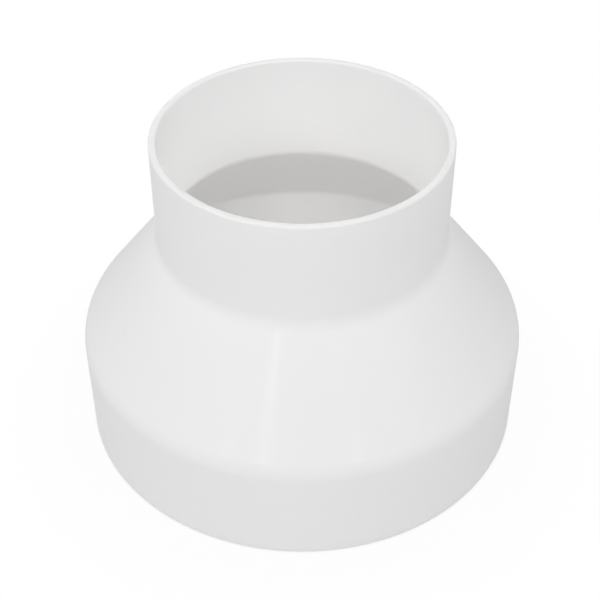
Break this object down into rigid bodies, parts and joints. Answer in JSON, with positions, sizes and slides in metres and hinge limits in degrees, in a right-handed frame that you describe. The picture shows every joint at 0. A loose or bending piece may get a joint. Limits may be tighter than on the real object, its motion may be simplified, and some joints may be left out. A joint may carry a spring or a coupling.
{
  "type": "duct reducer",
  "caption": "Concentric round duct reducer moulded in one piece of white plastic: a wide socket, a straight cone and a narrower spigot with one even wall.",
  "frame": {"origin": "centre of the wide socket's mouth, in the plane that the part stands on", "axes": "+Z along the duct's axis, from the socket to the narrow spigot; X and Y lie across the round section and are alike"},
  "size_m": [0.156, 0.156, 0.114],
  "materials": {
    "white_plastic": "satin"
  },
  "bodies": {
    "root": {"reducer_body": "white_plastic"}
  },
  "joints": []
}
